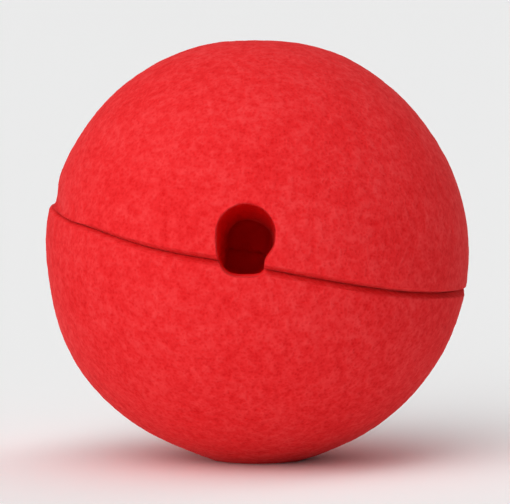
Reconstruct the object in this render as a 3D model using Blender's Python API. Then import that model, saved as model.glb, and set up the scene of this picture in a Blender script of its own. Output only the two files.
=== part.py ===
# Clown nose: a soft sponge foam ball that clips on to a nose. It is one piece of foam, slit to just past its
# middle, with a round hole punched in beside the slit.
# Units are metres and +Z is up. The ball rests on its flat underside with the origin at the middle of that
# flat, and the hole faces -Y. The slit's plane leans down towards +X.
import math

import bmesh
import bpy
from mathutils import Matrix, Vector

# Driving dimensions
BALL_DIAMETER = 0.0500
REST_FLAT_DIAMETER = 0.0110
SLIT_DEPTH = 0.0270
SLIT_END_GAP = 0.0003
SLIT_MOUTH_GAP = 0.0008
LIP_ROUNDING = 0.0006
HOLE_DIAMETER = 0.0072
HOLE_DEPTH = 0.0230
HOLE_BITE_IN_LOWER_LIP = 0.0008
HOLE_LEFT_OF_MIDDLE = 0.0017
SLIT_LEAN = math.radians(11.3)
CUTTER_OVERRUN = 0.0020

# Fineness of the mesh
SEGMENTS = 72
RINGS = 34
RING_CROWDING = 1.6
LIP_STEPS = 4
HOLE_SIDES = 32
MERGE_DISTANCE = 1e-6
SHARP_EDGE = math.radians(35)

FOAM_RED = (0.78, 0.025, 0.03, 1.0)
FOAM_ROUGHNESS = 0.95

# Each heading below is seen from the ball's middle: azimuth 0 is the front, 90 the right, -90 the left, and
# elevation 90 the top. Heights and depths are shares of the ball's radius, and spreads are degrees.

# Broad swells and hollows of the squeezed foam: name, azimuth, elevation, rise, spread
SWELLS = (
    ("upper_left_swell", -90, 60, 0.009, 26),
    ("lower_left_swell", -90, -33, 0.009, 14),
    ("left_hollow", -90, -9, -0.008, 9),
    ("upper_right_swell", 90, 66, 0.006, 11),
    ("right_hollow", 90, 32, -0.006, 17),
    ("underside_bulge", 0, -90, 0.022, 15),
    ("top_hollow", 0, 90, -0.006, 8),
)

# Flats pressed or trimmed into the foam: name, azimuth, elevation, depth, share of the bulge that is left
PRESSED_FLATS = (
    ("lower_left_flat", -90, -66, 0.020, 0.12),
)

# The two lips don't meet squarely: name, side of the slit, azimuth, rise, spread, share of the radius over
# which the rise fades away from the slit
LIPS = (
    ("upper_lip_set_back", 1, -90, -0.026, 24, 0.10),
    ("lower_lip_step", -1, -86, 0.009, 18, 0.16),
    ("upper_lip_ridge", 1, 38, 0.010, 24, 0.07),
)

# The blade wandered: place along the slit and its drop below the slit's plane, both as shares of the radius
BLADE_WANDER = (
    (-1.10, -0.036),
    (-0.86, 0.000),
    (-0.48, 0.020),
    (0.00, 0.004),
    (0.60, 0.003),
    (1.10, -0.016),
)

# Shares of the ball's radius: over the first the uneven lips run into the whole foam behind the slit, and over
# the second the mesh's rings leave the wandering slit and run level
SLIT_END_FADE = 0.1
WANDER_FADE = 0.35

BALL_RADIUS = BALL_DIAMETER / 2
HOLE_RADIUS = HOLE_DIAMETER / 2
HOLE_HEIGHT = HOLE_RADIUS - HOLE_BITE_IN_LOWER_LIP
SLIT_END = -BALL_RADIUS + SLIT_DEPTH
HOLE_END = -BALL_RADIUS + HOLE_DEPTH
CUTTER_REACH = BALL_RADIUS + CUTTER_OVERRUN
LEAN = Matrix.Rotation(SLIT_LEAN, 3, "Y")


def clear_scene():
    for old in list(bpy.data.objects):
        bpy.data.objects.remove(old, do_unlink=True)


def new_collection(name):
    collection = bpy.data.collections.new(name)
    bpy.context.scene.collection.children.link(collection)
    return collection


def new_object(name, mesh_code, collection, parent=None):
    """Turns the bmesh into an object in this collection, with its faces pointing out."""
    bmesh.ops.recalc_face_normals(mesh_code, faces=mesh_code.faces)
    mesh = bpy.data.meshes.new(name)
    mesh_code.to_mesh(mesh)
    mesh_code.free()
    made = bpy.data.objects.new(name, mesh)
    collection.objects.link(made)
    made.parent = parent
    return made


def foam_material():
    """Red polyurethane sponge foam: matt all over, with no shine at all."""
    material = bpy.data.materials.new("red_sponge_foam")
    material.use_nodes = True
    shader = material.node_tree.nodes["Principled BSDF"]
    shader.inputs["Base Color"].default_value = FOAM_RED
    shader.inputs["Roughness"].default_value = FOAM_ROUGHNESS
    shader.inputs["Metallic"].default_value = 0.0
    return material


def heading(azimuth, elevation):
    """Unit vector from the ball's middle towards this azimuth and elevation in degrees."""
    turn = math.radians(azimuth)
    lift = math.radians(elevation)
    return Vector((math.cos(lift) * math.sin(turn), -math.cos(lift) * math.cos(turn), math.sin(lift)))


def swollen_and_pressed(direction):
    """The point of the foam's surface that lies in this direction from the ball's middle."""
    rise = 0.0
    for _, azimuth, elevation, height, spread in SWELLS:
        away = math.degrees(direction.angle(heading(azimuth, elevation)))
        rise += height * math.exp(-((away / spread) ** 2))
    point = direction * BALL_RADIUS * (1 + rise)
    for _, azimuth, elevation, depth, left_over in PRESSED_FLATS:
        facing = heading(azimuth, elevation)
        bulge = point.dot(facing) - BALL_RADIUS * (1 - depth)
        if bulge > 0:
            point -= facing * bulge * (1 - left_over)
    return point


def resting_height():
    """Height of the ball's middle over its resting flat, where the flat has its stated diameter."""
    half_flat = REST_FLAT_DIAMETER / 2
    rim_elevation = -math.degrees(math.acos(half_flat / BALL_RADIUS))
    rim = swollen_and_pressed(heading(0, rim_elevation))
    return math.sqrt(rim.length_squared - half_flat**2)


def eased(share):
    """Smooth step from 0 to 1."""
    share = min(max(share, 0.0), 1.0)
    return share * share * (3 - 2 * share)


def parted(place):
    """1 where the slit parts the lips, falling to 0 in the whole foam behind the slit's end."""
    fade = BALL_RADIUS * SLIT_END_FADE
    return eased((SLIT_END + fade - place) / fade)


def blade_drop(place):
    """How far the cut runs below the slit's plane at this place across the ball, in metres."""
    share = place / BALL_RADIUS
    drop = BLADE_WANDER[0][1]
    for (start, start_drop), (stop, stop_drop) in zip(BLADE_WANDER, BLADE_WANDER[1:]):
        if share > start:
            drop = start_drop + (stop_drop - start_drop) * eased((share - start) / (stop - start))
    return BALL_RADIUS * drop


def lip_rise(point):
    """How far a lip stands proud of the round ball at this point of the slit's own frame, in metres."""
    azimuth = math.degrees(math.atan2(point.x, -point.y))
    over_slit = point.z + blade_drop(point.x)
    rise = 0.0
    for _, lip, middle, height, spread, fade in LIPS:
        if over_slit * lip > SLIT_END_GAP / 2:
            along = math.exp(-(((azimuth - middle) / spread) ** 2))
            up = math.exp(-((over_slit / (BALL_RADIUS * fade)) ** 2))
            rise += height * BALL_RADIUS * along * up
    return rise * parted(point.y)


def crowd_rings(ball):
    """Draws the rings of a round ball towards the slit, where the lips need them."""
    for vertex in ball.verts:
        latitude = math.asin(max(-1.0, min(1.0, vertex.co.z / BALL_RADIUS)))
        share = abs(latitude) / (math.pi / 2)
        crowded = math.copysign(share**RING_CROWDING * math.pi / 2, latitude)
        around = Vector((vertex.co.x, vertex.co.y, 0.0))
        if around.length > 0:
            around.normalize()
        vertex.co = (around * math.cos(crowded) + Vector((0, 0, math.sin(crowded)))) * BALL_RADIUS


def follow_blade(ball):
    """Bends the rings that are near the slit, so that they run along it where the blade wandered."""
    for vertex in ball.verts:
        near = math.exp(-((vertex.co.z / (BALL_RADIUS * WANDER_FADE)) ** 2))
        bent = vertex.co - Vector((0, 0, blade_drop(vertex.co.x) * near))
        vertex.co = bent.normalized() * BALL_RADIUS


def foam_ball(collection, centre):
    """The ball of foam before it is cut: round, with its swells, pressed flats and uneven lips."""
    ball = bmesh.new()
    bmesh.ops.create_uvsphere(ball, u_segments=SEGMENTS, v_segments=RINGS, radius=BALL_RADIUS)
    crowd_rings(ball)
    follow_blade(ball)
    for vertex in ball.verts:
        direction = (LEAN @ vertex.co).normalized()
        point = LEAN.transposed() @ swollen_and_pressed(direction)
        vertex.co = point + point.normalized() * lip_rise(point)
    made = new_object("foam_ball", ball, collection, centre)
    made.data.materials.append(foam_material())
    return made


def blade_profile():
    """Half the slit's thickness against the distance from the ball's middle, flared where the lips round off."""
    rounding_start = BALL_RADIUS - LIP_ROUNDING
    profile = [(0.0, SLIT_MOUTH_GAP / 2)]
    for step in range(LIP_STEPS + 1):
        turn = math.pi / 2 * step / LIP_STEPS
        distance = rounding_start + LIP_ROUNDING * math.sin(turn)
        profile.append((distance, SLIT_MOUTH_GAP / 2 + LIP_ROUNDING * (1 - math.cos(turn))))
    profile.append((CUTTER_REACH, SLIT_MOUTH_GAP / 2 + LIP_ROUNDING + CUTTER_OVERRUN))
    return profile


def openness(place):
    """The slit's gap here as a share of its gap at the mouth: widest at the front, nearly shut where it ends."""
    share = min(max((place + BALL_RADIUS) / SLIT_DEPTH, 0.0), 1.0)
    return 1 - (1 - SLIT_END_GAP / SLIT_MOUTH_GAP) * share**2


def slit_blade(collection, centre):
    """Cutter for the slit: a turned disc with a flared rim, trimmed and thinned where the blade stopped."""
    blade = bmesh.new()
    half = blade_profile()
    # Half a facet round from the ball's own, so that no edge of the one lies along an edge of the other
    start = Matrix.Rotation(math.pi / SEGMENTS, 3, "Z")
    outline = [blade.verts.new(start @ Vector((distance, 0, thick))) for distance, thick in half]
    outline += [blade.verts.new(start @ Vector((distance, 0, -thick))) for distance, thick in reversed(half)]
    edges = [blade.edges.new(pair) for pair in zip(outline, outline[1:])]
    bmesh.ops.spin(
        blade,
        geom=outline + edges,
        axis=(0, 0, 1),
        cent=(0, 0, 0),
        angle=math.tau,
        steps=SEGMENTS,
    )
    bmesh.ops.remove_doubles(blade, verts=blade.verts, dist=MERGE_DISTANCE)
    trim_flat(blade, point=(0, SLIT_END, 0), facing=(0, 1, 0))
    for vertex in blade.verts:
        vertex.co.z = vertex.co.z * openness(vertex.co.y) - blade_drop(vertex.co.x)
    return new_object("slit_blade", blade, collection, centre)


def trim_flat(solid, point, facing):
    """Cuts away what lies past this plane and closes the cut."""
    everything = list(solid.verts) + list(solid.edges) + list(solid.faces)
    cut = bmesh.ops.bisect_plane(
        solid, geom=everything, dist=MERGE_DISTANCE, plane_co=point, plane_no=facing, clear_outer=True
    )
    rim = [item for item in cut["geom_cut"] if isinstance(item, bmesh.types.BMEdge)]
    bmesh.ops.contextual_create(solid, geom=rim)


def nose_punch(name, height, collection, centre, only_below_slit=False):
    """Cutter for the hole: a round punch pushed in from the front, at this height over the slit's plane."""
    punch = bmesh.new()
    length = HOLE_END + CUTTER_REACH
    place = Matrix.Translation((-HOLE_LEFT_OF_MIDDLE, (HOLE_END - CUTTER_REACH) / 2, height))
    bmesh.ops.create_cone(
        punch,
        cap_ends=True,
        segments=HOLE_SIDES,
        radius1=HOLE_RADIUS,
        radius2=HOLE_RADIUS,
        depth=length,
        matrix=place @ Matrix.Rotation(math.pi / 2, 4, "X"),
    )
    if only_below_slit:
        trim_flat(punch, point=(0, 0, 0), facing=(0, 0, 1))
    return new_object(name, punch, collection, centre)


def floor_block(collection):
    """Cutter for the resting flat: everything below Z = 0."""
    block = bmesh.new()
    size = 2 * CUTTER_REACH
    scale = Matrix.Diagonal((size, size, CUTTER_REACH, 1))
    bmesh.ops.create_cube(block, size=1, matrix=Matrix.Translation((0, 0, -CUTTER_REACH / 2)) @ scale)
    return new_object("floor_block", block, collection)


def cut(piece, cutter):
    """Takes the cutter's shape out of the piece, and hides the cutter."""
    modifier = piece.modifiers.new(cutter.name, "BOOLEAN")
    modifier.operation = "DIFFERENCE"
    modifier.solver = "EXACT"
    modifier.object = cutter
    cutter.hide_render = True
    cutter.display_type = "WIRE"


def main():
    clear_scene()
    parts = new_collection("foam_clown_nose")
    cutters = new_collection("cutters")
    centre = bpy.data.objects.new("ball_centre", None)
    centre.location = (0, 0, resting_height())
    centre.rotation_euler = (0, SLIT_LEAN, 0)
    parts.objects.link(centre)
    ball = foam_ball(parts, centre)
    # The hole was punched while the slit was shut, so opening the slit parts it into two, one in each lip.
    opening = SLIT_MOUTH_GAP / 2
    cut(ball, slit_blade(cutters, centre))
    cut(ball, nose_punch("upper_lip_punch", HOLE_HEIGHT + opening, cutters, centre))
    cut(ball, nose_punch("lower_lip_punch", HOLE_HEIGHT - opening, cutters, centre, True))
    cut(ball, floor_block(cutters))
    ball.data.shade_smooth()
    ball.data.set_sharp_from_angle(angle=SHARP_EDGE)


if __name__ == "__main__":
    main()
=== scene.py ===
# Looks of a sponge foam clown nose: a red ball of soft foam, slit to just past its middle, with a round hole
# punched in beside the slit. It rests on a pale studio floor.
# Units are metres and +Z is up. The hole faces -Y, and the slit's plane leans down towards +X.
import math

import bpy
import numpy as np
from bpy.props import FloatProperty, FloatVectorProperty, PointerProperty
from mathutils import Matrix, Vector


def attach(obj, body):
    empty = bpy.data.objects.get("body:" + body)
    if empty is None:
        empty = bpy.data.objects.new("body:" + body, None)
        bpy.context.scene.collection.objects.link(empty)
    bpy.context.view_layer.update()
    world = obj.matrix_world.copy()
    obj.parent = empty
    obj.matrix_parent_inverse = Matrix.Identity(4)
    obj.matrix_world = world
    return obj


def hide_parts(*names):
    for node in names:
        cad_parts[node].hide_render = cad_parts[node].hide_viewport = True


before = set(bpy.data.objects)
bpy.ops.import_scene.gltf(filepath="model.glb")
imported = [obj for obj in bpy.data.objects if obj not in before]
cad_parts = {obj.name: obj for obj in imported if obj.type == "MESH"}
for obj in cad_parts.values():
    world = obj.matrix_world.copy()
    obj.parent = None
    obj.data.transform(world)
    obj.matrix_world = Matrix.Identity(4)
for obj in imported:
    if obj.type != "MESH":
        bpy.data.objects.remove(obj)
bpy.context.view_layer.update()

bl_info = {
    "name": "Sponge foam clown nose",
    "version": (1, 0, 0),
    "blender": (4, 5, 0),
    "location": "3D View > Sidebar > Clown nose",
    "description": "Models a slit and punched ball of red sponge foam, and a pale studio floor under it",
    "category": "Add Mesh",
}

# The node that the modelled ball stands for, and its body
FOAM_NODE = "foam_ball"
FOAM_BODY = "root"

# Each heading below is seen from the ball's middle: azimuth 0 is the front, 90 the right, -90 the left, and
# elevation 90 the top. Heights and depths are shares of the ball's radius, and spreads are degrees.

# Broad swells and hollows of the squeezed foam: name, azimuth, elevation, rise, spread
SWELLS = (
    ("upper_left_swell", -90, 60, 0.009, 26),
    ("lower_left_swell", -90, -33, 0.009, 14),
    ("left_hollow", -90, -9, -0.008, 9),
    ("upper_right_swell", 90, 66, 0.006, 11),
    ("right_hollow", 90, 32, -0.006, 17),
    ("underside_bulge", 0, -90, 0.022, 15),
    ("top_hollow", 0, 90, -0.006, 8),
)

# Flats pressed or trimmed into the foam: name, azimuth, elevation, depth, share of the bulge that is left
PRESSED_FLATS = (
    ("lower_left_flat", -90, -66, 0.020, 0.12),
)

# The two lips don't meet squarely: name, side of the slit, azimuth, rise, spread, share of the radius over
# which the rise fades away from the slit
LIPS = (
    ("upper_lip_set_back", 1, -90, -0.026, 24, 0.10),
    ("lower_lip_step", -1, -86, 0.004, 18, 0.16),
    ("upper_lip_ridge", 1, 38, 0.016, 24, 0.06),
)

# The blade wandered: place along the slit and its drop below the slit's plane, both as shares of the radius
BLADE_WANDER = (
    (-1.10, -0.036),
    (-0.86, 0.000),
    (-0.48, 0.020),
    (0.00, 0.004),
    (0.60, 0.003),
    (1.10, -0.016),
)

# The lips' edges are less rounded towards the ends: place along the slit as a share of the radius, then the
# groove's width in the upper lip, its width in the lower lip, and its depth, as shares of their full sizes
GROOVE = (
    (-1.00, 0.00, 0.70, 0.35),
    (-0.88, 0.05, 0.70, 0.45),
    (-0.75, 0.60, 0.80, 0.60),
    (-0.50, 0.90, 0.90, 0.85),
    (-0.15, 1.00, 1.00, 1.00),
    (0.60, 1.00, 1.00, 1.00),
    (1.00, 0.80, 0.80, 0.80),
)

# Share of the groove that is left everywhere, so that the blade keeps its form to its end
LEAST_GROOVE = 0.05

# The hole sprang back unevenly once it was punched. Its upper left wall bulged in furthest: the way to that
# side, then the share of the bulge, and of its edge's rounding, that the other side has
SOFT_SIDE = (-0.45, 0, 0.89)
HARD_BULGE = 0.05
HARD_EDGE = 0.40

# The hole is round above its widest place, as a power of 2 makes it, and squarer below. The upper lip's
# corner leans in at its lower right: the height of that corner, where 0 is the hole's widest place and -1 its
# lowest point, and how far it spreads in the same measure
ROUND = 2.0
SQUARER = 3.2
CORNER_PLACE = -0.67
CORNER_SPREAD = 0.27

# Shares of the ball's radius: over the first the uneven lips run into the whole foam behind the slit, and
# over the second the mesh's rows leave the wandering slit and run level
SLIT_END_FADE = 0.1
WANDER_FADE = 0.35

# Fineness of the mesh: cuts across each side of the cube that is drawn out to a ball, made in two rounds;
# points along each cutter's rim; steps round a rounded edge; the depths of the rows of points below it; and
# the rings of points on the hole's blind end, as shares of its outline
CUBE_CUTS = (7, 13)
BLADE_POINTS = 300
PUNCH_POINTS = 96
ROUNDING_STEPS = 7
BLADE_ROWS = np.geomspace(0.0170, 0.0004, 11)
PUNCH_ROWS = np.linspace(0.0180, 0.0004, 23)
BLIND_END_RINGS = (0, 0.5, 0.85)

# Points of a cutter that lie closer than the first are merged, and points of the cut ball than the second
MERGE_DISTANCE = 1e-6
SLIVER_LENGTH = 1e-5

# How round an edge is: 1 is a straight chamfer, and more than 2 is rounder than a quarter circle
LIP_ROUNDNESS = 1.15
HOLE_ROUNDNESS = 1.7

# How far a cutter stands out of the foam
CUTTER_OVERRUN = 0.0015

# The studio's light comes from a broad wall of soft boxes all round the front, and a screen stands before its
# right side. For each: the way to its middle, and the cosines of the angles from there at which it starts and
# at which it is full
SOFT_BOXES = ((0.58, -0.80, -0.12), -0.69, 0.51)
SCREEN = ((0.88, -0.48, 0.04), 0.24, 0.54)

# Within this distance of the slit and the hole the foam is as smooth as the blade and the punch left it, down
# to this share of the face's roughness
CALM_DISTANCE = 0.0005
BLADE_SMOOTHNESS = 0.1

# The foam's cells are pushed out of rows by a noise this many cells across, measured from its middle value.
# The struts stand up between these two distances from a cell's middle, as shares of the cell's size
PUSH_CELLS = 2
NOISE_MIDDLE = 0.5
STRUT_RANGE = (0.10, 0.65)

# Tufts of struts lean and mat together over the first length, and the dye is uneven over the second. Then the
# shares of the struts and the tufts in the height of the foam's face, and of the dye in its tone
TUFT_SIZE = 0.0010
DYE_PATCH_SIZE = 0.0050
STRUT_SHARE = 0.15
TUFT_SHARE = 0.70
DYE_SHARE = 0.30

# Tones at which the foam has the colour of its pits, its own and that of its struts, and the bumps' height.
# The pits' colour is painted shade and the struts' a painted highlight
PIT_TONE = 0.35
FOAM_TONE = 0.59
STRUT_TONE = 0.83
BUMP_HEIGHT = 0.00030
BUMP_STRENGTH = 0.5

# How far under the ball's round face its ground colour reaches, and over what depth it then turns into the
# cut walls' brighter red, painted light that the soft foam lets through to them
GROUND_DEPTH = 0.001
CUT_FADE = 0.003

# Across the studio's paper, and how near and how far the camera sees
FLOOR_SIZE = 12
CLIP_RANGE = (0.01, 50)


def linear(hex_code):
    """Linear colour of an sRGB hex code."""
    channels = [int(hex_code[place : place + 2], 16) / 255 for place in (1, 3, 5)]
    return [c / 12.92 if c <= 0.04045 else ((c + 0.055) / 1.055) ** 2.4 for c in channels]


def length(name, description, default):
    """A property that is a length in metres."""
    return FloatProperty(
        name=name,
        description=description,
        default=default,
        min=0,
        subtype="DISTANCE",
        unit="LENGTH",
        precision=5,
    )


def angle(name, description, degrees):
    """A property that is an angle, shown in degrees."""
    return FloatProperty(
        name=name, description=description, default=math.radians(degrees), subtype="ANGLE", unit="ROTATION"
    )


def colour(name, description, hex_code):
    """A property that is a colour."""
    return FloatVectorProperty(
        name=name, description=description, default=linear(hex_code), size=3, min=0, max=1, subtype="COLOR"
    )


class FoamNoseSizes(bpy.types.PropertyGroup):
    """Sizes of the ball of foam, its slit and its hole."""

    ball_diameter: length("Ball", "Across the ball", 0.0500)
    rest_flat_diameter: length("Resting flat", "Across the flat that the ball rests on", 0.0110)
    slit_depth: length("Slit depth", "From the front of the ball to where the blade stopped", 0.0270)
    slit_gap: length("Slit gap", "Between the lips, which all but touch", 0.00004)
    groove_width: length("Groove width", "Across the groove between the lips' rounded edges", 0.0012)
    groove_depth: length("Groove depth", "How deep the lips' rounded edges run in", 0.0014)
    slit_lean: angle("Slit lean", "How far the slit leans down to the right", 11.3)
    hole_width: length("Hole width", "Across the punched hole", 0.0067)
    hole_rise: length("Hole rise", "How far the hole reaches above its widest place", 0.00335)
    hole_fall: length("Hole fall", "How far the hole reaches below its widest place", 0.0049)
    hole_depth: length("Hole depth", "From the front of the ball to the hole's blind end", 0.0230)
    hole_rounding: length("Hole rounding", "How far the hole's softest edge spreads outwards", 0.0002)
    hole_edge_depth: length("Hole edge depth", "How deep the hole's softest edge runs in", 0.0005)
    hole_bulge: length("Hole bulge", "How far the hole's upper left wall bulges in", 0.0012)
    bulge_start: length("Bulge start", "How deep in the hole the bulge and the drop start", 0.0045)
    bulge_length: length("Bulge length", "How much deeper the bulge is highest", 0.0120)
    hole_sag: length("Hole sag", "How far the hole drops behind its mouth", 0.0017)
    hole_bite: length("Hole bite", "How far the hole cuts into the lower lip", 0.00147)
    hole_corner: length("Hole corner", "How far the upper lip's corner leans into the hole", 0.0010)
    hole_offset: length("Hole offset", "How far left the hole stands along the slit", 0.00201)
    lump_size: length("Lump size", "Across the small lumps of the ground foam", 0.0011)
    lump_height: length("Lump height", "How far the small lumps stand out", 0.00012)
    swell_size: length("Swell size", "Across the uneven places that the grinding left", 0.0060)
    swell_height: length("Swell height", "How far the uneven places stand out", 0.00012)
    cell_size: length("Cell size", "Across a cell of the foam", 0.00042)


class FoamNoseColours(bpy.types.PropertyGroup):
    """Colours of the foam and the studio."""

    foam: colour("Foam", "The dyed foam", "#E5282B")
    # The struts' colour is a painted highlight on the tips, and the pits' colour is painted shade down in the
    # cells. Both also carry the dye's uneven tone
    strut_highlight_and_pale_dye: colour("Struts", "Tips of the foam's struts, which catch the light", "#ED3C3E")
    pit_shade_and_dark_dye: colour("Pits", "Down in the open cells", "#D9181C")
    cut: colour("Cuts", "Walls of the cuts, lit a little through the soft foam", "#FF1418")
    bloom: colour("Bloom", "Pale bloom of the velvety face seen edge on", "#FF9C94")
    floor: colour("Floor", "Matt paper that the ball rests on", "#FCFCFC")


class FoamNoseStudio(bpy.types.PropertyGroup):
    """The studio: the camera and the light."""

    camera_distance: length("Camera distance", "From the camera to the ball's middle", 0.55)
    frame_width: length("Frame width", "Width that the frame takes in at the ball", 0.06035)
    camera_height: angle("Camera height", "How far the camera looks down", 4.3)
    aim_left: length("Aim left", "How far left of the ball's middle the camera aims", 0.00028)
    aim_low: length("Aim low", "How far below the ball's middle the camera aims", 0.00010)
    dome_light: FloatProperty(
        name="Dome light", description="Brightness of the bright side", default=2.86, min=0
    )
    dome_shade: FloatProperty(
        name="Dome shade", description="Brightness of the dark side", default=0.30, min=0
    )
    screen: FloatProperty(
        name="Screen",
        description="Share of the light that a screen at the right takes away",
        default=0.95,
        min=0,
        max=1,
    )


def named(name):
    """Names the object that was just added, and its mesh."""
    made = bpy.context.object
    made.name = name
    made.data.name = name
    return made


def select_only(piece):
    """Makes this the one selected object."""
    bpy.ops.object.select_all(action="DESELECT")
    piece.select_set(True)
    bpy.context.view_layer.objects.active = piece


def read_points(piece):
    """The points of a piece's mesh, one row each."""
    points = np.empty(len(piece.data.vertices) * 3)
    piece.data.vertices.foreach_get("co", points)
    return points.reshape(-1, 3)


def write_points(piece, points):
    """Moves the points of a piece's mesh."""
    piece.data.vertices.foreach_set("co", points.ravel())
    piece.data.update()


def eased(share):
    """Smooth step from 0 to 1."""
    share = np.clip(share, 0.0, 1.0)
    return share * share * (3 - 2 * share)


def from_table(places, table, column):
    """Reads a column of a table at these places, running smoothly from each row to the next."""
    values = np.full(np.shape(places), float(table[0][column]))
    for before, after in zip(table, table[1:]):
        step = eased((places - before[0]) / (after[0] - before[0]))
        values += (after[column] - before[column]) * step
    return values


def heading(azimuth, elevation):
    """Unit vector from the ball's middle towards this azimuth and elevation in degrees."""
    turn = math.radians(azimuth)
    lift = math.radians(elevation)
    return np.array((math.cos(lift) * math.sin(turn), -math.cos(lift) * math.cos(turn), math.sin(lift)))


class FoamShape:
    """The shape of the foam: where its face, its slit and its hole lie, in the slit's own frame."""

    def __init__(self, sizes):
        self.sizes = sizes
        self.radius = sizes.ball_diameter / 2
        self.slit_end = sizes.slit_depth - self.radius
        self.hole_end = sizes.hole_depth - self.radius
        self.lean = np.array(Matrix.Rotation(sizes.slit_lean, 3, "Y"))

    def swollen_and_pressed(self, directions):
        """Points of the foam's face in these upright directions from the ball's middle."""
        rise = np.zeros(len(directions))
        for _, azimuth, elevation, height, spread in SWELLS:
            away = np.degrees(np.arccos(np.clip(directions @ heading(azimuth, elevation), -1, 1)))
            rise += height * np.exp(-((away / spread) ** 2))
        points = directions * (self.radius * (1 + rise))[:, None]
        for _, azimuth, elevation, depth, left_over in PRESSED_FLATS:
            facing = heading(azimuth, elevation)
            bulge = np.maximum(points @ facing - self.radius * (1 - depth), 0)
            points -= np.outer(bulge * (1 - left_over), facing)
        return points

    def resting_height(self):
        """Height of the ball's middle over its resting flat, where the flat has its stated diameter."""
        half_flat = self.sizes.rest_flat_diameter / 2
        rim_elevation = -math.degrees(math.acos(half_flat / self.radius))
        rim = self.swollen_and_pressed(heading(0, rim_elevation)[None, :])[0]
        return math.sqrt(rim @ rim - half_flat**2)

    def blade_drop(self, across):
        """How far the cut runs below the slit's plane at these places across the ball."""
        return self.radius * from_table(across / self.radius, BLADE_WANDER, 1)

    def parted(self, back):
        """1 where the slit parts the lips, falling to 0 in the whole foam behind the slit's end."""
        fade = self.radius * SLIT_END_FADE
        return eased((self.slit_end + fade - back) / fade)

    def groove_share(self, level, column):
        """A column of the groove's table at these points of the unit circle, fading where the slit ends."""
        parted = self.parted(level[:, 1] * self.radius + self.radius * SLIT_END_FADE)
        return LEAST_GROOVE + (1 - LEAST_GROOVE) * from_table(level[:, 0], GROOVE, column) * parted

    def hole_middle(self):
        """The middle of the hole's widest place."""
        return np.array((-self.sizes.hole_offset, 0, self.sizes.hole_fall - self.sizes.hole_bite))

    def out_of_hole(self, points):
        """How far out from the hole's middle these points lie, where 1 is its edge."""
        upright = (points - self.hole_middle()) @ self.lean.T
        above = upright[:, 2] > 0
        level = np.abs(upright[:, 0]) / (self.sizes.hole_width / 2)
        up = np.abs(upright[:, 2]) / np.where(above, self.sizes.hole_rise, self.sizes.hole_fall)
        squareness = np.where(above, ROUND, SQUARER)
        return (level**squareness + up**squareness) ** (1 / squareness)

    def lip_rise(self, points, over_slit, side):
        """How far the lip on this side of the slit stands proud of the round ball."""
        azimuth = np.degrees(np.arctan2(points[:, 0], -points[:, 1]))
        rise = np.zeros(len(points))
        for _, lip, middle, height, spread, fade in LIPS:
            along = np.exp(-(((azimuth - middle) / spread) ** 2))
            up = np.exp(-((over_slit / (self.radius * fade)) ** 2))
            rise += np.where(side == lip, height * self.radius * along * up, 0)
        return rise * self.parted(points[:, 1])

    def face(self, directions, side=None):
        """Points of the foam's face in these directions of the slit's frame, on this side of the slit."""
        points = self.swollen_and_pressed(directions @ self.lean.T) @ self.lean
        over_slit = points[:, 2] + self.blade_drop(points[:, 0])
        if side is None:
            side = np.where(np.abs(over_slit) > self.sizes.slit_gap, np.sign(over_slit), 0)
        reach = np.linalg.norm(points, axis=1)
        return points * (1 + self.lip_rise(points, over_slit, side) / reach)[:, None]


def ball_of_foam(shape):
    """The ball of foam before it is cut: a cube drawn out round, with its swells, flats and uneven lips."""
    bpy.ops.mesh.primitive_cube_add(size=2)
    ball = named("sponge_foam_ball")
    bpy.ops.object.mode_set(mode="EDIT")
    for cuts in CUBE_CUTS:
        bpy.ops.mesh.select_all(action="SELECT")
        bpy.ops.mesh.subdivide(number_cuts=cuts)
    bpy.ops.object.mode_set(mode="OBJECT")
    # Evens the faces out, because a plain cube's are drawn out most at the middle of its sides
    spread = np.tan(read_points(ball) * math.pi / 4)
    directions = spread / np.linalg.norm(spread, axis=1)[:, None]
    near = np.exp(-((directions[:, 2] / WANDER_FADE) ** 2))
    drop = shape.blade_drop(directions[:, 0] * shape.radius) / shape.radius
    directions[:, 2] -= drop * near
    directions /= np.linalg.norm(directions, axis=1)[:, None]
    write_points(ball, shape.face(directions))
    return ball


def rolled_solid(name, rows):
    """A closed solid from a grid that is rolled up, where each row of the grid becomes a ring of points."""
    rings, around = rows.shape[:2]
    bpy.ops.mesh.primitive_grid_add(x_subdivisions=around, y_subdivisions=rings - 1, size=2)
    solid = named(name)
    flat = read_points(solid)
    turn = np.rint((flat[:, 0] + 1) / 2 * around).astype(int) % around
    ring = np.rint((flat[:, 1] + 1) / 2 * (rings - 1)).astype(int)
    write_points(solid, rows[ring, turn])
    bpy.ops.object.mode_set(mode="EDIT")
    bpy.ops.mesh.select_all(action="SELECT")
    bpy.ops.mesh.remove_doubles(threshold=MERGE_DISTANCE)
    bpy.ops.mesh.select_all(action="SELECT")
    bpy.ops.mesh.normals_make_consistent(inside=False)
    bpy.ops.object.mode_set(mode="OBJECT")
    return solid


def rounded_edge(rows, deep, across, roundness):
    """The steps of a cut whose edge is rounded off, from plain cut to outside the foam. Each is a depth under
    the face and a widening of the cut, one value for each point round the cutter."""
    steps = [(depth + deep, 0 * across) for depth in rows]
    steps += [(deep * (1 - out) ** roundness, across * out) for out in np.linspace(0, 1, ROUNDING_STEPS + 1)]
    (depth_before, out_before), (depth, out) = steps[-2:]
    flare = (out - out_before) / (depth_before - depth)
    steps.append((depth - CUTTER_OVERRUN, out + flare * CUTTER_OVERRUN))
    return steps


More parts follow.
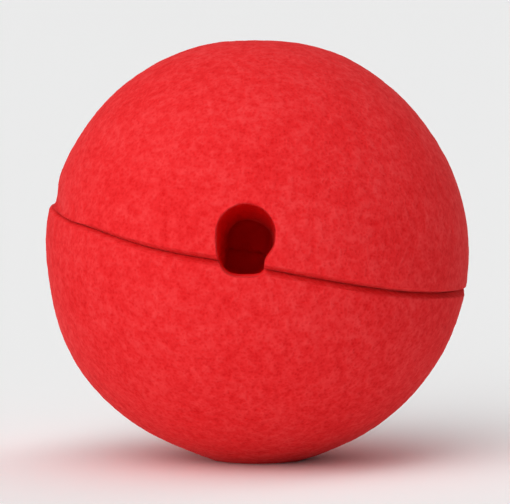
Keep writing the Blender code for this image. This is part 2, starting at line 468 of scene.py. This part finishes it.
def slit_blade(shape):
    """Cutter for the slit: a thin disc, flared where the lips round off, and cut off at the slit's end."""
    sizes = shape.sizes
    # Half a step round from the ball's own rows of points
    turns = (np.arange(BLADE_POINTS) + 0.5) / BLADE_POINTS * math.tau
    level = np.stack((np.sin(turns), -np.cos(turns), np.zeros(BLADE_POINTS)), axis=1)
    drop = shape.blade_drop(level[:, 0] * shape.radius)
    deep = sizes.groove_depth * shape.groove_share(level, 3)
    halves = []
    for side, column in ((1, 1), (-1, 2)):
        across = sizes.groove_width / 2 * shape.groove_share(level, column)
        tilted = level * shape.radius - np.outer(drop, (0, 0, 1))
        tilted /= np.linalg.norm(tilted, axis=1)[:, None]
        reach = np.linalg.norm(shape.face(tilted, side)[:, :2], axis=1)
        rows = [np.zeros((BLADE_POINTS, 3)) + (0, 0, side * sizes.slit_gap / 2)]
        for depth, out in rounded_edge(BLADE_ROWS, deep, across, LIP_ROUNDNESS):
            half = sizes.slit_gap / 2 + out
            rows.append(level * (reach - depth)[:, None] + np.outer(half * side, (0, 0, 1)))
        halves.append(rows)
    upper, lower = halves
    blade = rolled_solid("slit_blade", np.array(upper + lower[::-1]))
    bpy.ops.object.mode_set(mode="EDIT")
    bpy.ops.mesh.select_all(action="SELECT")
    bpy.ops.mesh.bisect(
        plane_co=(0, shape.slit_end, 0),
        plane_no=(0, 1, 0),
        use_fill=True,
        clear_outer=True,
        threshold=MERGE_DISTANCE,
    )
    bpy.ops.object.mode_set(mode="OBJECT")
    points = read_points(blade)
    points[:, 2] -= shape.blade_drop(points[:, 0])
    write_points(blade, points)
    return blade


def nose_punch(shape):
    """Cutter for the hole: an upright punch, reshaped as the foam sprang back, that flares at its mouth."""
    sizes = shape.sizes
    turns = (np.arange(PUNCH_POINTS) + 0.5) / PUNCH_POINTS * math.tau
    upright = np.stack((np.sin(turns), np.zeros(PUNCH_POINTS), np.cos(turns)), axis=1)
    above = upright[:, 2] > 0
    oval = np.sign(upright) * np.abs(upright) ** (2 / np.where(above, ROUND, SQUARER))[:, None]
    corner = np.maximum(oval[:, 0], 0) * np.exp(-(((oval[:, 2] - CORNER_PLACE) / CORNER_SPREAD) ** 2))
    level = oval[:, 0] * sizes.hole_width / 2 - sizes.hole_corner * corner
    up = oval[:, 2] * np.where(above, sizes.hole_rise, sizes.hole_fall)
    spokes = np.stack((level, np.zeros(PUNCH_POINTS), up), axis=1) @ shape.lean
    outwards = upright @ shape.lean
    middle = shape.hole_middle()
    rim = middle + spokes
    rim[:, 1] = -np.sqrt(shape.radius**2 - rim[:, 0] ** 2 - rim[:, 2] ** 2)
    reach = np.linalg.norm(shape.face(rim / shape.radius), axis=1)
    rim[:, 1] = -np.sqrt(reach**2 - rim[:, 0] ** 2 - rim[:, 2] ** 2)
    softness = eased((upright @ SOFT_SIDE + 1) / 2)
    bulge = sizes.hole_bulge * (HARD_BULGE + (1 - HARD_BULGE) * softness)
    edge = HARD_EDGE + (1 - HARD_EDGE) * softness
    settled = np.array((0, 0, -sizes.hole_sag)) @ shape.lean
    blind = middle + settled + (0, shape.hole_end, 0)
    swollen = spokes - outwards * bulge[:, None]
    rows = [blind + swollen * share for share in BLIND_END_RINGS]
    steps = rounded_edge(PUNCH_ROWS, sizes.hole_edge_depth * edge, sizes.hole_rounding * edge, HOLE_ROUNDNESS)
    for depth, out in steps:
        inside = eased((depth - sizes.bulge_start) / sizes.bulge_length)
        row = rim + np.outer(depth, (0, 1, 0)) + np.outer(inside, settled)
        rows.append(row + outwards * (out - bulge * inside)[:, None])
    outside = -shape.radius - 2 * CUTTER_OVERRUN
    rows.append(np.zeros((PUNCH_POINTS, 3)) + middle + (0, outside, 0))
    return rolled_solid("nose_punch", np.array(rows))


def cut(piece, cutter):
    """Takes the cutter's shape out of the piece, and removes the cutter."""
    select_only(piece)
    modifier = piece.modifiers.new(cutter.name, "BOOLEAN")
    modifier.operation = "DIFFERENCE"
    modifier.solver = "EXACT"
    modifier.object = cutter
    bpy.ops.object.modifier_apply(modifier=modifier.name)
    bpy.data.objects.remove(cutter, do_unlink=True)


def check_closed(piece):
    """Stops the script if a cut has left the piece open."""
    select_only(piece)
    bpy.ops.object.mode_set(mode="EDIT")
    bpy.ops.mesh.select_mode(type="VERT")
    bpy.ops.mesh.select_all(action="DESELECT")
    bpy.ops.mesh.select_non_manifold()
    bpy.ops.object.mode_set(mode="OBJECT")
    open_points = sum(point.select for point in piece.data.vertices)
    if open_points:
        raise RuntimeError(f"{piece.name} is open at {open_points} points")


def roughen(piece, name, kind, across, height, where):
    """Raises a group of the piece's points by a noise of this size, which stays fixed to the piece."""
    texture = bpy.data.textures.new(name, kind)
    texture.noise_scale = across
    modifier = piece.modifiers.new(name, "DISPLACE")
    modifier.texture = texture
    modifier.texture_coords = "LOCAL"
    modifier.direction = "NORMAL"
    modifier.strength = height
    modifier.mid_level = 0.5
    modifier.vertex_group = where.name
    select_only(piece)
    bpy.ops.object.modifier_apply(modifier=modifier.name)


def add_node(tree, kind, inputs=None, **settings):
    """Adds a node with its settings. Each input is a value, or the socket of another node to link from."""
    node = tree.nodes.new(kind)
    for name, value in settings.items():
        setattr(node, name, value)
    for name, value in (inputs or {}).items():
        if isinstance(value, bpy.types.NodeSocket):
            tree.links.new(value, node.inputs[name])
        else:
            node.inputs[name].default_value = value
    return node


def new_material(name):
    """An empty node material: its tree and its Principled shader."""
    material = bpy.data.materials.new(name)
    material.use_nodes = True
    return material, material.node_tree, material.node_tree.nodes["Principled BSDF"]


def sponge_material(sizes, colours, middle_of_ball):
    """Open-cell polyurethane sponge, dyed right through and ground to shape. The cut struts stand up as a
    fine velvet between open cells, so it is quite matt, with a pale bloom where it is seen edge on."""
    material, tree, shader = new_material("ground_polyurethane_sponge")
    place = add_node(tree, "ShaderNodeTexCoord").outputs["Object"]
    # Cells aren't in rows: each is pushed about by up to a third of its size
    push_scale = 1 / (PUSH_CELLS * sizes.cell_size)
    push = add_node(tree, "ShaderNodeTexNoise", {"Vector": place, "Scale": push_scale, "Detail": 1.0})
    centred = add_node(
        tree, "ShaderNodeVectorMath", {0: push.outputs["Color"], 1: (NOISE_MIDDLE,) * 3}, operation="SUBTRACT"
    )
    pushed = add_node(
        tree,
        "ShaderNodeVectorMath",
        {0: centred.outputs["Vector"], 1: (sizes.cell_size,) * 3, 2: place},
        operation="MULTIPLY_ADD",
    ).outputs["Vector"]
    cells = add_node(tree, "ShaderNodeTexVoronoi", {"Vector": pushed, "Scale": 1 / sizes.cell_size})
    struts = add_node(
        tree,
        "ShaderNodeMapRange",
        {"Value": cells.outputs["Distance"], "From Min": STRUT_RANGE[0], "From Max": STRUT_RANGE[1]},
        interpolation_type="SMOOTHSTEP",
    ).outputs["Result"]
    tufts = add_node(
        tree, "ShaderNodeTexNoise", {"Vector": place, "Scale": 1 / TUFT_SIZE, "Detail": 2.0, "Roughness": 0.6}
    ).outputs["Fac"]
    dye = add_node(
        tree, "ShaderNodeTexNoise", {"Vector": place, "Scale": 1 / DYE_PATCH_SIZE, "Detail": 2.0}
    ).outputs["Fac"]
    fine = add_node(tree, "ShaderNodeMath", {0: struts, 1: STRUT_SHARE}, operation="MULTIPLY").outputs[0]
    height = add_node(
        tree, "ShaderNodeMath", {0: tufts, 1: TUFT_SHARE, 2: fine}, operation="MULTIPLY_ADD"
    ).outputs[0]
    # Colour follows the height: darker down in the cells, painted shade, and lighter on the tips, a painted
    # highlight. The dye's uneven tone is mixed in too
    shade_and_dye_tone = add_node(
        tree, "ShaderNodeMath", {0: dye, 1: DYE_SHARE, 2: height}, operation="MULTIPLY_ADD"
    ).outputs[0]
    ramp = add_node(tree, "ShaderNodeValToRGB", {"Fac": shade_and_dye_tone})
    stops = ramp.color_ramp.elements
    stops[0].position = PIT_TONE
    stops[0].color = (*colours.pit_shade_and_dark_dye, 1)
    stops[1].position = STRUT_TONE
    stops[1].color = (*colours.strut_highlight_and_pale_dye, 1)
    stops.new(FOAM_TONE).color = (*colours.foam, 1)
    bump = add_node(
        tree, "ShaderNodeBump", {"Height": height, "Distance": BUMP_HEIGHT, "Strength": BUMP_STRENGTH}
    ).outputs["Normal"]
    # The walls of the cuts were never ground. Their brighter, deeper red is painted light, for the light that
    # the soft foam lets through to them
    reach = add_node(
        tree, "ShaderNodeVectorMath", {0: place, 1: middle_of_ball}, operation="DISTANCE"
    ).outputs["Value"]
    outer = sizes.ball_diameter / 2 - GROUND_DEPTH
    ground = add_node(
        tree,
        "ShaderNodeMapRange",
        {"Value": reach, "From Min": outer - CUT_FADE, "From Max": outer},
        interpolation_type="SMOOTHSTEP",
    ).outputs["Result"]
    # The mix node's colours are its sockets 6 and 7 in, and 2 out
    red = add_node(
        tree, "ShaderNodeMix", {0: ground, 6: (*colours.cut, 1), 7: ramp.outputs["Color"]}, data_type="RGBA"
    ).outputs[2]
    tree.links.new(red, shader.inputs["Base Color"])
    tree.links.new(bump, shader.inputs["Normal"])
    shader.inputs["Roughness"].default_value = 0.95
    shader.inputs["Metallic"].default_value = 0.0
    shader.inputs["IOR"].default_value = 1.5
    shader.inputs["Specular IOR Level"].default_value = 0.1
    shader.inputs["Sheen Weight"].default_value = 0.10
    shader.inputs["Sheen Roughness"].default_value = 0.3
    shader.inputs["Sheen Tint"].default_value = (*colours.bloom, 1)
    return material


def paper_material(colours):
    """Seamless studio paper: matt and almost white."""
    material, _, shader = new_material("matt_studio_paper")
    shader.inputs["Base Color"].default_value = (*colours.floor, 1)
    shader.inputs["Roughness"].default_value = 0.9
    shader.inputs["Specular IOR Level"].default_value = 0.2
    return material


class FOAMNOSE_OT_foam_ball(bpy.types.Operator):
    """Model the ball of foam with its slit and its hole"""

    bl_idname = "foam_nose.foam_ball"
    bl_label = "Foam ball"

    def execute(self, context):
        sizes = context.scene.foam_nose_sizes
        shape = FoamShape(sizes)
        bpy.ops.object.select_all(action="DESELECT")
        ball = ball_of_foam(shape)
        cut(ball, nose_punch(shape))
        cut(ball, slit_blade(shape))
        self.finish(ball, shape)
        ball.data.materials.clear()
        middle_of_ball = (0, 0, shape.resting_height())
        ball.data.materials.append(sponge_material(sizes, context.scene.foam_nose_colours, middle_of_ball))
        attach(ball, FOAM_BODY)
        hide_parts(FOAM_NODE)
        return {"FINISHED"}

    def finish(self, ball, shape):
        """Closes the ball's mesh, sets the ball down on its flat and roughens its face."""
        sizes = shape.sizes
        select_only(ball)
        bpy.ops.object.mode_set(mode="EDIT")
        bpy.ops.mesh.select_all(action="SELECT")
        bpy.ops.mesh.remove_doubles(threshold=SLIVER_LENGTH)
        bpy.ops.mesh.select_all(action="SELECT")
        bpy.ops.mesh.normals_make_consistent(inside=False)
        bpy.ops.object.mode_set(mode="OBJECT")
        check_closed(ball)
        bpy.ops.object.shade_smooth()
        rough = self.rough_points(ball, shape)
        ball.data.transform(
            Matrix.Translation((0, 0, shape.resting_height())) @ Matrix.Rotation(sizes.slit_lean, 4, "Y")
        )
        roughen(ball, "uneven_grinding", "CLOUDS", sizes.swell_size, sizes.swell_height, rough)
        roughen(ball, "foam_lumps", "CLOUDS", sizes.lump_size, sizes.lump_height, rough)
        ball.vertex_groups.clear()
        points = read_points(ball)
        points[:, 2] = np.maximum(points[:, 2], 0)
        write_points(ball, points)

    def rough_points(self, ball, shape):
        """The group of points that the roughness moves: all of them fully, but for those close to a cut."""
        sizes = shape.sizes
        points = read_points(ball)
        from_slit = np.abs(points[:, 2] + shape.blade_drop(points[:, 0]))
        from_hole = np.maximum(shape.out_of_hole(points) - 1, 0) * sizes.hole_width / 2
        away = np.minimum(from_slit, from_hole) / CALM_DISTANCE
        weights = 1 - (1 - BLADE_SMOOTHNESS) * shape.parted(points[:, 1]) * (1 - eased(away))
        group = ball.vertex_groups.new(name="rough_points")
        for place, weight in enumerate(weights):
            group.add([place], weight, "REPLACE")
        return group


class FOAMNOSE_OT_stage(bpy.types.Operator):
    """Set out the floor, the soft light and the camera"""

    bl_idname = "foam_nose.stage"
    bl_label = "Studio"

    def execute(self, context):
        scene = context.scene
        self.floor(scene.foam_nose_colours)
        self.light(scene)
        self.camera(scene)
        scene.view_settings.view_transform = "Standard"
        return {"FINISHED"}

    def floor(self, colours):
        """A sheet of studio paper that runs far enough back to fill the frame."""
        bpy.ops.object.select_all(action="DESELECT")
        bpy.ops.mesh.primitive_plane_add(size=FLOOR_SIZE)
        paper = named("studio_floor")
        paper.data.materials.append(paper_material(colours))

    def light(self, scene):
        """A white dome, bright at the front left, above and below, and dim behind the screen at the right."""
        studio = scene.foam_nose_studio
        world = bpy.data.worlds.new("soft_dome")
        scene.world = world
        world.use_nodes = True
        tree = world.node_tree
        background = tree.nodes["Background"]
        background.inputs["Color"].default_value = (1, 1, 1, 1)
        direction = add_node(tree, "ShaderNodeTexCoord").outputs["Generated"]
        soft_boxes = self.towards(tree, direction, SOFT_BOXES, studio.dome_shade, studio.dome_light)
        screened = self.towards(tree, direction, SCREEN, 1.0, 1.0 - studio.screen)
        strength = add_node(tree, "ShaderNodeMath", {0: soft_boxes, 1: screened}, operation="MULTIPLY")
        tree.links.new(strength.outputs[0], background.inputs["Strength"])

    def towards(self, tree, direction, patch, before, after):
        """A value that runs smoothly from before to after as the direction turns towards this patch."""
        place, start, full = patch
        facing = add_node(
            tree,
            "ShaderNodeVectorMath",
            {0: direction, 1: Vector(place).normalized()},
            operation="DOT_PRODUCT",
        ).outputs["Value"]
        return add_node(
            tree,
            "ShaderNodeMapRange",
            {"Value": facing, "From Min": start, "From Max": full, "To Min": before, "To Max": after},
            interpolation_type="SMOOTHSTEP",
        ).outputs["Result"]

    def camera(self, scene):
        """A long lens in front of the ball, looking slightly down into the slit and the hole."""
        studio = scene.foam_nose_studio
        middle_height = FoamShape(scene.foam_nose_sizes).resting_height()
        aim = Vector((-studio.aim_left, 0, middle_height - studio.aim_low))
        back = Vector(heading(0, math.degrees(studio.camera_height)))
        bpy.ops.object.camera_add(location=aim + back * studio.camera_distance)
        camera = bpy.context.object
        camera.name = "photo_camera"
        camera.rotation_euler = (-back).to_track_quat("-Z", "Y").to_euler()
        camera.data.lens = camera.data.sensor_width * studio.camera_distance / studio.frame_width
        camera.data.clip_start, camera.data.clip_end = CLIP_RANGE
        scene.camera = camera


class FOAMNOSE_PT_panel(bpy.types.Panel):
    """Sizes, colours and pieces of the clown nose"""

    bl_idname = "FOAMNOSE_PT_panel"
    bl_label = "Sponge foam clown nose"
    bl_space_type = "VIEW_3D"
    bl_region_type = "UI"
    bl_category = "Clown nose"

    def draw(self, context):
        scene = context.scene
        for title, group in (
            ("Sizes", scene.foam_nose_sizes),
            ("Colours", scene.foam_nose_colours),
            ("Studio", scene.foam_nose_studio),
        ):
            box = self.layout.box()
            box.label(text=title)
            for name in group.bl_rna.properties.keys():
                if name not in ("rna_type", "name"):
                    box.prop(group, name)
        for operator in (FOAMNOSE_OT_foam_ball, FOAMNOSE_OT_stage):
            self.layout.operator(operator.bl_idname)


CLASSES = (
    FoamNoseSizes,
    FoamNoseColours,
    FoamNoseStudio,
    FOAMNOSE_OT_foam_ball,
    FOAMNOSE_OT_stage,
    FOAMNOSE_PT_panel,
)


def register():
    for cls in CLASSES:
        bpy.utils.register_class(cls)
    bpy.types.Scene.foam_nose_sizes = PointerProperty(type=FoamNoseSizes)
    bpy.types.Scene.foam_nose_colours = PointerProperty(type=FoamNoseColours)
    bpy.types.Scene.foam_nose_studio = PointerProperty(type=FoamNoseStudio)


def unregister():
    del bpy.types.Scene.foam_nose_studio
    del bpy.types.Scene.foam_nose_colours
    del bpy.types.Scene.foam_nose_sizes
    for cls in reversed(CLASSES):
        bpy.utils.unregister_class(cls)


def main():
    register()
    bpy.ops.foam_nose.foam_ball()
    bpy.ops.foam_nose.stage()


if __name__ == "__main__":
    main()
